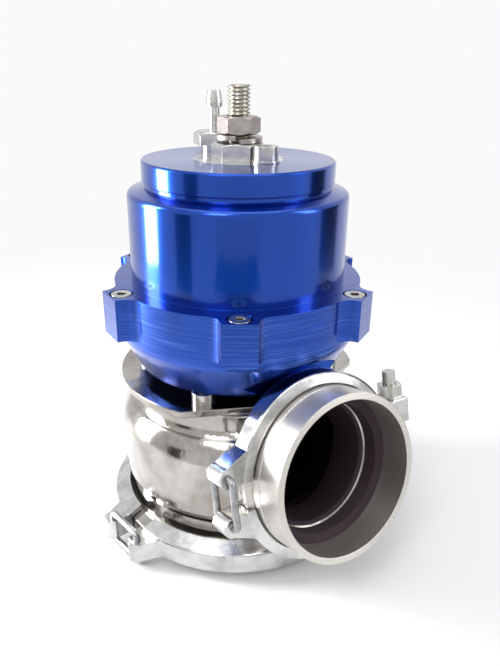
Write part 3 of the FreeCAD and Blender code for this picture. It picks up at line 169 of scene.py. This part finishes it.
# %% Colour the world
world = bpy.data.worlds.new("Studio")
bpy.context.scene.world = world
world.use_nodes = True
tree = world.node_tree
tree.nodes.clear()
output = node(tree, "ShaderNodeOutputWorld")
path = node(tree, "ShaderNodeLightPath")
looked_at = node(tree, "ShaderNodeMath", operation="ADD")
shown = node(tree, "ShaderNodeMath", operation="ADD", use_clamp=True)
room = node(tree, "ShaderNodeBackground", Color=(0.88, 0.88, 0.90, 1), Strength=0.75)
backdrop = node(tree, "ShaderNodeBackground", Color=white, Strength=1.0)
choose = node(tree, "ShaderNodeMixShader")
join(tree, (path, "Is Camera Ray", looked_at, 0), (path, "Is Glossy Ray", looked_at, 1),
     (looked_at, "Value", shown, 0), (path, "Is Transmission Ray", shown, 1),
     (shown, "Value", choose, "Fac"), (room, 0, choose, 1), (backdrop, 0, choose, 2),
     (choose, 0, output, "Surface"))
arrange(tree)
print("world has", len(tree.nodes), "nodes")

# %% [markdown]
# ## The lamps
# Four soft boxes light the part.  A turned wall stretches the image of a lamp into a streak
# along its axis.  The left one is a narrow strip that stands close by, almost on the floor: seen
# from above, an upright wall mirrors what is low down, and there the strip draws its streak.


# %% Hang the lamps
def soft_box(name, place, target, width, height, power):
    """A rectangular lamp aimed at a point of the part."""
    data = bpy.data.lights.new(name, "AREA")
    data.shape = "RECTANGLE"
    data.size = width
    data.size_y = height
    data.energy = power
    lamp = bpy.data.objects.new(name, data)
    lamp.location = place
    aim = Vector(target) - Vector(place)
    lamp.rotation_euler = aim.to_track_quat("-Z", "Y").to_euler()
    bpy.context.collection.objects.link(lamp)


middle = (0, 0, 0.08)
upper_case = (0, 0, 0.15)
soft_box("Left window", (-0.29, 0.215, 0.175), upper_case, 0.12, 0.34, 3.2)
soft_box("Right window", (0.60, -0.68, 0.50), middle, 0.25, 0.8, 3.0)
soft_box("Front", (-0.55, -0.35, 0.80), middle, 0.30, 0.5, 2.6)
soft_box("Top", (0.05, 0.1, 1.1), middle, 0.9, 0.9, 3.0)
print("four soft boxes")

# %% [markdown]
# ## Dark cards
# Polished metal in an all-white room looks like paper.  A studio stands dark cards round it, out
# of the camera's view, and the metal draws them as soft grey bands that show its form.  The
# cards are staging, and only reflections see them.

# %% Stand the dark cards
card_paint = new_material("Card grey")
tree = card_paint.node_tree
matt = node(tree, "ShaderNodeBsdfDiffuse", Color=(0.050, 0.046, 0.044, 1))
join(tree, (matt, 0, tree.nodes["Material Output"], "Surface"))
arrange(tree)


def dark_card(name, place, turn, width, height, lean=90.0):
    """A grey card on the floor; turn is its heading and lean its tilt from lying flat."""
    bpy.ops.object.select_all(action="DESELECT")
    bpy.ops.mesh.primitive_plane_add(size=1.0, location=place,
                                     rotation=(math.radians(lean), 0, math.radians(turn)))
    card = bpy.context.object
    card.name = name
    card.scale = (width, height, 1)
    card.data.materials.append(card_paint)
    for ray in ("visible_camera", "visible_shadow", "visible_diffuse"):
        setattr(card, ray, False)


dark_card("Card_front", (-0.20, -0.30, 0.004), -35.0, 0.26, 0.10, lean=0.0)
dark_card("Card_right", (0.34, -0.14, 0.10), 70.0, 0.18, 0.20)
dark_card("Card_left", (-0.33, -0.02, 0.06), -75.0, 0.10, 0.12)
print("three cards")

# %% [markdown]
# ## Shared effects
# Four effects are node groups, so that every finish can use them with its own strengths.  A
# group only puts out masks and values.  Each reads Object coordinates, which are the frame's own
# metres here, because every piece's object sits at the origin.


# %% Define the group helpers
def new_group(name, inputs, outputs):
    """An empty node group; an input without a number is a vector, and the others are values."""
    group = bpy.data.node_groups.new(name, "ShaderNodeTree")
    for title, value in inputs.items():
        kind = "NodeSocketVector" if value is None else "NodeSocketFloat"
        socket = group.interface.new_socket(title, in_out="INPUT", socket_type=kind)
        if value is not None:
            socket.default_value = value
    for title in outputs:
        group.interface.new_socket(title, in_out="OUTPUT", socket_type="NodeSocketFloat")
    return group, node(group, "NodeGroupInput"), node(group, "NodeGroupOutput")


def from_axis(group, start):
    """Two nodes: the coordinates apart, and the distance from the upright axis."""
    split = node(group, "ShaderNodeSeparateXYZ")
    flat = node(group, "ShaderNodeCombineXYZ")
    radius = node(group, "ShaderNodeVectorMath", operation="LENGTH")
    join(group, (start, "Vector", split, 0), (split, "X", flat, "X"), (split, "Y", flat, "Y"),
         (flat, 0, radius, 0))
    return split, radius


print("groups start from one helper")

# %% [markdown]
# ### Turned lines
# A lathe leaves fine rings round the axis, on walls and faces alike.  Radius plus height changes
# along both, so one noise of that single number gives rings everywhere, none of them alike.

# %% Build the turned-lines group
turned_lines, start, end = new_group("Turned lines", {"Vector": None, "Pitch": 4000.0}, ["Lines"])
split, radius = from_axis(turned_lines, start)
total = node(turned_lines, "ShaderNodeMath", operation="ADD")
scaled = node(turned_lines, "ShaderNodeMath", operation="MULTIPLY")
rings = node(turned_lines, "ShaderNodeTexNoise", noise_dimensions="1D", Scale=1.0, Detail=3.0)
join(turned_lines, (radius, "Value", total, 0), (split, "Z", total, 1), (total, 0, scaled, 0),
     (start, "Pitch", scaled, 1), (scaled, 0, rings, "W"), (rings, 0, end, "Lines"))
arrange(turned_lines)
print("turned lines:", len(turned_lines.nodes), "nodes")

# %% [markdown]
# ### Cast waves
# Polishing follows a casting's skin and leaves it slightly wavy, with fine pits that the wheel
# didn't reach.  A third, rougher noise darkens the colour in patches: heat and handling stains,
# and on the polished body also painted dark reflections.

# %% Build the cast-waves group
pit_share = 0.04
cast_waves, start, end = new_group(
    "Cast waves", {"Vector": None, "Wave scale": 45.0, "Pit scale": 900.0}, ["Waves", "Stain and reflection"])
swell = node(cast_waves, "ShaderNodeTexNoise", Detail=2.0)
pits = node(cast_waves, "ShaderNodeTexNoise", Detail=2.0)
fine = node(cast_waves, "ShaderNodeMath", operation="MULTIPLY")
fine.inputs[1].default_value = pit_share
both = node(cast_waves, "ShaderNodeMath", operation="ADD")
# Dark patches: stain on most metals, and partly painted dark reflections on the polished body.
stain_and_reflection = node(cast_waves, "ShaderNodeTexNoise", Detail=5.0, Roughness=0.6)
join(cast_waves, (start, "Vector", swell, "Vector"), (start, "Wave scale", swell, "Scale"),
     (start, "Vector", pits, "Vector"), (start, "Pit scale", pits, "Scale"),
     (pits, 0, fine, 0), (swell, 0, both, 0), (fine, 0, both, 1), (both, 0, end, "Waves"),
     (start, "Vector", stain_and_reflection, "Vector"), (start, "Wave scale", stain_and_reflection, "Scale"),
     (stain_and_reflection, 0, end, "Stain and reflection"))
arrange(cast_waves)
print("cast waves:", len(cast_waves.nodes), "nodes")

# %% [markdown]
# ### Dark inside
# The walls inside the gas passage and the valve chamber get a dark, matt colour, and the outside
# keeps its finish.  Inside and outside are one mesh and one material, so the mask goes by place:
# near the tilted outlet axis, ahead of the valve and not too far out, or within the valve
# chamber.

# %% Build the group that finds the inside walls
outlet_tilt = 11.9
outlet_crossing = (0.0, 0.0, 0.0349)
outlet_direction = (0.0, -math.cos(math.radians(outlet_tilt)),
                    math.sin(math.radians(outlet_tilt)))
chamber_radius = 0.0425
chamber_roof = 0.0505
dark_inside, start, end = new_group(
    "Dark inside", {"Vector": None, "Radius": 0.022, "Depth": 0.058}, ["Mask"])
offset = node(dark_inside, "ShaderNodeVectorMath", operation="SUBTRACT")
offset.inputs[1].default_value = outlet_crossing
along = node(dark_inside, "ShaderNodeVectorMath", operation="DOT_PRODUCT")
along.inputs[1].default_value = outlet_direction
step = node(dark_inside, "ShaderNodeVectorMath", operation="SCALE")
step.inputs[0].default_value = outlet_direction
away = node(dark_inside, "ShaderNodeVectorMath", operation="SUBTRACT")
outlet_radius = node(dark_inside, "ShaderNodeVectorMath", operation="LENGTH")
narrow = node(dark_inside, "ShaderNodeMath", operation="LESS_THAN")
short = node(dark_inside, "ShaderNodeMath", operation="LESS_THAN")
ahead = node(dark_inside, "ShaderNodeMath", operation="GREATER_THAN")
ahead.inputs[1].default_value = 0.0
reached = node(dark_inside, "ShaderNodeMath", operation="MULTIPLY")
passage = node(dark_inside, "ShaderNodeMath", operation="MULTIPLY")
join(dark_inside, (start, "Vector", offset, 0), (offset, 0, along, 0), (along, "Value", step, "Scale"),
     (offset, 0, away, 0), (step, 0, away, 1), (away, 0, outlet_radius, 0),
     (outlet_radius, "Value", narrow, 0), (start, "Radius", narrow, 1),
     (along, "Value", short, 0), (start, "Depth", short, 1), (along, "Value", ahead, 0),
     (short, 0, reached, 0), (ahead, 0, reached, 1),
     (narrow, 0, passage, 0), (reached, 0, passage, 1))
print("the passage takes", len(dark_inside.nodes), "nodes")

# %% Add the valve chamber to it
split, radius = from_axis(dark_inside, start)
within = node(dark_inside, "ShaderNodeMath", operation="LESS_THAN")
within.inputs[1].default_value = chamber_radius
below = node(dark_inside, "ShaderNodeMath", operation="LESS_THAN")
below.inputs[1].default_value = chamber_roof
chamber = node(dark_inside, "ShaderNodeMath", operation="MULTIPLY")
either = node(dark_inside, "ShaderNodeMath", operation="MAXIMUM")
join(dark_inside, (radius, "Value", within, 0), (split, "Z", below, 0), (within, 0, chamber, 0),
     (below, 0, chamber, 1), (passage, 0, either, 0), (chamber, 0, either, 1),
     (either, 0, end, "Mask"))
arrange(dark_inside)
print("soot inside:", len(dark_inside.nodes), "nodes")

# %% [markdown]
# ### Milled lines
# The lugs and the band between them are cut by the side of a milling cutter, which leaves level
# lines and nothing on the turned case above.  The noise is stretched: dense along the height
# and slow along the face.  Only what is further out than the case shows it.

# %% Build the milled-lines group
cutter_stretch = (30.0, 30.0, 2600.0)
milled_lines, start, end = new_group(
    "Milled lines", {"Vector": None, "Inner radius": 0.0446}, ["Lines"])
split, radius = from_axis(milled_lines, start)
outside = node(milled_lines, "ShaderNodeMath", operation="GREATER_THAN")
stretch = node(milled_lines, "ShaderNodeMapping", Scale=cutter_stretch)
cuts = node(milled_lines, "ShaderNodeTexNoise", Scale=1.0, Detail=3.0, Roughness=0.65)
sharp = node(milled_lines, "ShaderNodeMapRange", From_Min=0.52, From_Max=0.72)
kept = node(milled_lines, "ShaderNodeMath", operation="MULTIPLY")
join(milled_lines, (radius, "Value", outside, 0), (start, "Inner radius", outside, 1),
     (start, "Vector", stretch, 0), (stretch, 0, cuts, 0), (cuts, 0, sharp, "Value"),
     (sharp, 0, kept, 0), (outside, 0, kept, 1), (kept, 0, end, "Lines"))
arrange(milled_lines)
print("milled lines:", len(milled_lines.nodes), "nodes")

# %% [markdown]
# ## The finishes
# Every metal here is one Principled BSDF.  What differs is its colour, how rough it is, and
# which surface marks tilt its normal.  Turned parts are anisotropic: their fine grooves pull
# every highlight out into a streak along the axis, so the tangent runs round the axis and is
# turned by a quarter.  A Bevel node softens the sharp edges of the solids a little, as a
# polishing drum would, and costs no geometry.

# %% Define the metal
roughness_swing = 0.06
least_roughness = 0.02
stain_and_reflection_from, stain_and_reflection_full = 0.42, 0.72
quarter_turn = 0.25


def metal(name, colour, roughness, marks, strength, depth=0.0002, wave=45.0, dark=None,
          axis_lean=0.0, anisotropy=0.0, tangent_axis="Z", edge=0.0004, **sockets):
    """A metal whose marks are either 'turned' or 'cast'; sockets go to its shader."""
    made = new_material(name)
    tree = made.node_tree
    place = node(tree, "ShaderNodeTexCoord")
    turn = node(tree, "ShaderNodeMapping", Rotation=(axis_lean, 0, 0))
    if marks == "turned":
        effect = node(tree, "ShaderNodeGroup", node_tree=turned_lines)
        height = tone = "Lines"
    else:
        effect = node(tree, "ShaderNodeGroup", node_tree=cast_waves, Wave_scale=wave)
        height, tone = "Waves", "Stain and reflection"
    soft_edge = node(tree, "ShaderNodeBevel", samples=4, Radius=edge)
    bump = node(tree, "ShaderNodeBump", Strength=strength, Distance=depth)
    rough = node(tree, "ShaderNodeMapRange", To_Max=roughness + roughness_swing,
                 To_Min=max(roughness - roughness_swing, least_roughness))
    fade = node(tree, "ShaderNodeMapRange", From_Min=stain_and_reflection_from, From_Max=stain_and_reflection_full)
    tint = node(tree, "ShaderNodeMix", data_type="RGBA")
    tint.inputs["A"].default_value = (*colour, 1)
    tint.inputs["B"].default_value = (*(dark or [channel * 0.72 for channel in colour]), 1)
    shader = node(tree, "ShaderNodeBsdfPrincipled", Metallic=1.0, Anisotropic=anisotropy)
    for title, value in sockets.items():
        shader.inputs[title.replace("_", " ")].default_value = value
    if anisotropy:
        shader.inputs["Anisotropic Rotation"].default_value = quarter_turn
        grooves = node(tree, "ShaderNodeTangent", direction_type="RADIAL", axis=tangent_axis)
        join(tree, (grooves, 0, shader, "Tangent"))
    join(tree, (place, "Object", turn, "Vector"), (turn, 0, effect, "Vector"),
         (effect, height, bump, "Height"), (soft_edge, 0, bump, "Normal"),
         (bump, 0, shader, "Normal"),
         (effect, tone, rough, "Value"), (rough, 0, shader, "Roughness"),
         (effect, tone, fade, "Value"), (fade, 0, tint, "Factor"),
         (tint, "Result", shader, "Base Color"),
         (shader, 0, tree.nodes["Material Output"], "Surface"))
    arrange(tree)
    return made


print("metals are mixed by one helper")

# %% [markdown]
# ### Laying one finish over another
# Milled lines and the dark inside both lie over a finished metal.  The helper takes what already
# feeds the base colour and puts a Mix node in between, driven by a group's mask.  The dark inside
# is more than a colour, so it also dulls the surface and takes its metal away.


# %% Define the overlays
def part_of(made, kind):
    """The first node of a kind in a material."""
    return next(item for item in made.node_tree.nodes if item.bl_idname == kind)


def lay_over(made, group, output, colour, **settings):
    """Lay a second colour over a finish where a group's mask says so; gives the mask's node."""
    tree = made.node_tree
    shader = part_of(made, "ShaderNodeBsdfPrincipled")
    before = shader.inputs["Base Color"].links[0].from_socket
    mask = node(tree, "ShaderNodeGroup", node_tree=group, **settings)
    over = node(tree, "ShaderNodeMix", data_type="RGBA")
    over.inputs["B"].default_value = (*colour, 1)
    tree.links.new(before, over.inputs["A"])
    join(tree, (part_of(made, "ShaderNodeTexCoord"), "Object", mask, "Vector"),
         (mask, output, over, "Factor"), (over, "Result", shader, "Base Color"))
    arrange(tree)
    return mask


# A dark, matt colour for the walls inside the gas passage and the valve chamber.
inside_dark_colour = (0.026, 0.012, 0.021)
inside_dark_roughness = 0.75


def darken_inside(made, radius, depth):
    """Matt purplish black on the walls inside the gas passage and the valve chamber."""
    tree = made.node_tree
    mask = lay_over(made, dark_inside, "Mask", inside_dark_colour, Radius=radius, Depth=depth)
    shader = part_of(made, "ShaderNodeBsdfPrincipled")
    polished = shader.inputs["Roughness"].links[0].from_socket
    dull = node(tree, "ShaderNodeMix")
    dull.inputs["B"].default_value = inside_dark_roughness
    bare = node(tree, "ShaderNodeMath", operation="SUBTRACT")
    bare.inputs[0].default_value = 1.0
    tree.links.new(polished, dull.inputs["A"])
    join(tree, (mask, "Mask", dull, "Factor"), (dull, "Result", shader, "Roughness"),
         (mask, "Mask", bare, 1), (bare, 0, shader, "Metallic"))
    arrange(tree)


print("overlays are ready")

# %% [markdown]
# ### Anodised blue
# Anodising dyes a thin clear layer on bright aluminium.  The metal below gives the blue
# reflections, and the layer adds a faint colourless gloss on top, so the shader is a blue
# metal under a light coat.

# %% Mix the anodised blue
fresh_cut = (0.06, 0.16, 0.62)
blue = metal("Blue anodised aluminium", (0.004, 0.057, 0.375), 0.24, "turned", 0.05,
             anisotropy=0.6, dark=(0.004, 0.044, 0.32),
             Coat_Weight=0.4, Coat_Roughness=0.08, Coat_IOR=1.6)
lay_over(blue, milled_lines, "Lines", fresh_cut)
print("blue has", len(blue.node_tree.nodes), "nodes")

# %% [markdown]
# ### Cast and turned stainless
# The body is a casting, polished by hand to a wavy mirror.  Its brownish patches are partly heat
# stain and partly painted dark reflections.  The outlet ring is turned on a lathe and left as
# cut, so it is duller and lined, and its pattern leans over with the outlet.  Both are dark and
# matt inside.

# %% Mix the body and the outlet ring
port_radius, port_depth = 0.0227, 0.0600
ring_bore_radius, ring_bore_depth = 0.0275, 0.0576
outlet_lean = math.radians(outlet_tilt - 90)
# Its dark colour paints brownish patches: partly heat stain, partly painted dark reflections.
cast = metal("Polished cast stainless", (0.47, 0.455, 0.43), 0.13, "cast", 0.50,
             depth=0.0018, dark=(0.22, 0.195, 0.175), edge=0.0008)
darken_inside(cast, port_radius, port_depth)
outlet_ring = metal("Turned outlet ring", (0.72, 0.70, 0.66), 0.38, "turned", 0.16,
                    axis_lean=outlet_lean, dark=(0.46, 0.43, 0.39), anisotropy=0.6,
                    tangent_axis="Y")
darken_inside(outlet_ring, ring_bore_radius, ring_bore_depth)
print("cast and turned steel are ready")

# %% [markdown]
# ### Fittings and inner parts
# Plated nuts, a nickel nut, forged links and a rolled thread each have their own grey: real
# hardware never matches.  What is inside the case is kept simple and true to its material.

# %% Mix the other finishes
finishes = {
    "blue": blue,
    "cast": cast,
    "outlet": outlet_ring,
    "inlet": metal("Turned inlet ring", (0.58, 0.56, 0.54), 0.26, "turned", 0.16,
                   anisotropy=0.5),
    "clamp": metal("Polished clamp steel", (0.62, 0.62, 0.62), 0.16, "cast", 0.30,
                   depth=0.0006, wave=110.0, dark=(0.36, 0.36, 0.36), edge=0.0006),
    "forged": metal("Dull forged steel", (0.42, 0.42, 0.43), 0.34, "cast", 0.40,
                    depth=0.0004, wave=240.0, dark=(0.20, 0.20, 0.21)),
    "zinc": metal("Plated fittings", (0.56, 0.555, 0.54), 0.26, "cast", 0.12, depth=0.0003,
                  wave=300.0, dark=(0.40, 0.39, 0.36)),
    "nut": metal("Nickel nut", (0.42, 0.385, 0.37), 0.30, "cast", 0.14, depth=0.0003,
                 wave=320.0, dark=(0.30, 0.27, 0.25)),
    "stud": metal("Rolled thread steel", (0.46, 0.44, 0.37), 0.30, "cast", 0.14, wave=500.0,
                  dark=(0.24, 0.22, 0.17)),
    "disc": metal("Machined insert", (0.70, 0.71, 0.72), 0.22, "turned", 0.15,
                  anisotropy=0.5),
    "dark": metal("Burnt inner steel", (0.05, 0.042, 0.045), 0.55, "cast", 0.3, depth=0.0004,
                  wave=200.0, dark=(0.02, 0.014, 0.016)),
    "spring": metal("Spring steel", (0.30, 0.31, 0.34), 0.30, "cast", 0.10, wave=400.0),
    "bronze": metal("Bronze", (0.62, 0.42, 0.20), 0.30, "turned", 0.12),
    "rubber": metal("Black rubber", (0.03, 0.03, 0.032), 0.60, "cast", 0.20, wave=600.0,
                    Metallic=0.0),
}
print(len(finishes), "finishes")

# %% Dress the nodes
wearing = {
    "blue": ["top_cap", "actuator_base"],
    "cast": ["valve_body"],
    "outlet": ["outlet_flange"],
    "inlet": ["inlet_flange"],
    "clamp": ["inlet_clamp_keeper", "inlet_clamp_arm", "outlet_clamp_keeper",
              "outlet_clamp_arm"],
    "forged": ["inlet_hinge_pin", "outlet_hinge_pin"],
    "nut": ["lock_nut", "lock_washer"],
    "stud": ["adjuster_screw"],
    "disc": ["centre_disc", "piston_cup", "retainer_plate", "spring_seat"],
    "dark": ["valve", "valve_seat"],
    "spring": ["outer_spring", "inner_spring"],
    "bronze": ["valve_guide"],
    "rubber": ["diaphragm", "stem_seal"],
}
finish_of = {name: finish for finish, names in wearing.items() for name in names}
for name, piece in nodes.items():
    piece.data.materials.clear()
    piece.data.materials.append(finishes[finish_of.get(name, "zinc")])
print(len(nodes), "nodes dressed,", len(nodes) - len(finish_of), "of them plated")

# %% [markdown]
# ## The adjuster's thread
# The adjuster is a length of M8 stud.  Its solid is a plain bar, which is enough to mount and
# simulate, but the eye expects a thread.  One turn of the profile is drawn with extrusions, and
# the Screw modifier winds it up the bar.  Two bisections with a filled cut square off the ends.

# %% Draw one turn of the thread
screw_low, screw_high = (Vector(corner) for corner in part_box("adjuster_screw"))
thread_pitch = 0.00125
thread_depth = 0.00077
crest_radius = 0.0040
thread_foot = screw_low.z + 0.0030
turns = math.ceil((screw_high.z - thread_foot) / thread_pitch) + 2
# Each step of the profile: how far outwards, and what share of the pitch upwards.
profile = ((0, 0.2), (thread_depth, 0.34), (0, 0.12), (-thread_depth, 0.34))

bpy.ops.object.select_all(action="DESELECT")
bpy.ops.mesh.primitive_plane_add(size=0.001, location=(0, 0, 0))
thread = bpy.context.object
thread.name = "Adjuster_thread"
bpy.ops.object.mode_set(mode="EDIT")
bpy.ops.mesh.select_mode(type="VERT")
bpy.ops.mesh.select_all(action="SELECT")
bpy.ops.mesh.merge(type="CENTER")
bpy.ops.transform.translate(
    value=(crest_radius - thread_depth, 0, thread_foot - thread_pitch))
for outward, share in profile:
    bpy.ops.mesh.extrude_region_move(
        TRANSFORM_OT_translate={"value": (outward, 0, share * thread_pitch)})
bpy.ops.object.mode_set(mode="OBJECT")
print("profile has", len(thread.data.vertices), "points")

# %% Wind it up
weld_distance = 0.000002
winding = thread.modifiers.new("Winding", "SCREW")
winding.axis = "Z"
winding.angle = 2 * math.pi
winding.steps = winding.render_steps = 36
winding.screw_offset = thread_pitch
winding.iterations = turns
bpy.ops.object.modifier_apply(modifier="Winding")
bpy.ops.object.mode_set(mode="EDIT")
bpy.ops.mesh.select_all(action="SELECT")
bpy.ops.mesh.remove_doubles(threshold=weld_distance)
print(turns, "turns")


# %% Square the ends and chamfer the top
def pick_faces(piece, test):
    """Select the faces whose centre passes a test."""
    shape = bmesh.from_edit_mesh(piece.data)
    for item in shape.faces:
        item.select_set(test(item.calc_center_median()))
    bmesh.update_edit_mesh(piece.data)


hair = 0.00001
chamfer = 0.0008
chamfer_scale = 0.82
bpy.ops.mesh.bisect(plane_co=(0, 0, thread_foot), plane_no=(0, 0, 1), use_fill=True,
                    clear_inner=True)
bpy.ops.mesh.select_all(action="SELECT")
bpy.ops.mesh.bisect(plane_co=(0, 0, screw_high.z), plane_no=(0, 0, 1), use_fill=True,
                    clear_outer=True)
bpy.ops.mesh.select_all(action="SELECT")
bpy.ops.mesh.bisect(plane_co=(0, 0, screw_high.z - chamfer), plane_no=(0, 0, 1))
bpy.ops.mesh.select_mode(type="FACE")
pick_faces(thread, lambda centre: centre.z > screw_high.z - hair)
bpy.ops.transform.resize(value=(chamfer_scale, chamfer_scale, 1),
                         center_override=(0, 0, screw_high.z))
print("thread has", len(thread.data.vertices), "points")

# %% Turn the pin on the lower end
pin_radius = 0.0025
pin_length = 0.0018
pin_scale = pin_radius / crest_radius
cone_length = thread_foot - screw_low.z - pin_length
pick_faces(thread, lambda centre: centre.z < thread_foot + hair)
bpy.ops.mesh.extrude_region_move(TRANSFORM_OT_translate={"value": (0, 0, -cone_length)})
bpy.ops.transform.resize(value=(pin_scale, pin_scale, 1), center_override=(0, 0, 0))
bpy.ops.mesh.extrude_region_move(TRANSFORM_OT_translate={"value": (0, 0, -pin_length)})
bpy.ops.mesh.select_all(action="SELECT")
bpy.ops.mesh.normals_make_consistent(inside=False)
bpy.ops.object.mode_set(mode="OBJECT")
thread.data.materials.append(finishes["stud"])
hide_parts("adjuster_screw")
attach(thread, "adjuster")
print("thread box:", [round(value, 4) for value in thread.dimensions])

# %% [markdown]
# ## The springs
# The springs sit between the piston, which rises with the valve, and the spring seat.  Each
# spring is a copy of its solid, hung on the housing; it doesn't squash as the valve lifts.  A
# solid's mesh is loose triangles, so the copy's corners are merged first.

# %% Copy the springs
corner_weld = 0.000005
for name in ("outer_spring", "inner_spring"):
    bpy.ops.object.select_all(action="DESELECT")
    spring = bpy.data.objects.new(name + "_wire", nodes[name].data.copy())
    bpy.context.collection.objects.link(spring)
    spring.select_set(True)
    bpy.context.view_layer.objects.active = spring
    bpy.ops.object.mode_set(mode="EDIT")
    bpy.ops.mesh.select_all(action="SELECT")
    bpy.ops.mesh.remove_doubles(threshold=corner_weld)
    bpy.ops.object.mode_set(mode="OBJECT")
    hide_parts(name)
    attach(spring, "housing")
    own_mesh(spring)

# %% [markdown]
# ## Finish
# The Standard view keeps colours as they are written.

bpy.context.scene.view_settings.view_transform = "Standard"
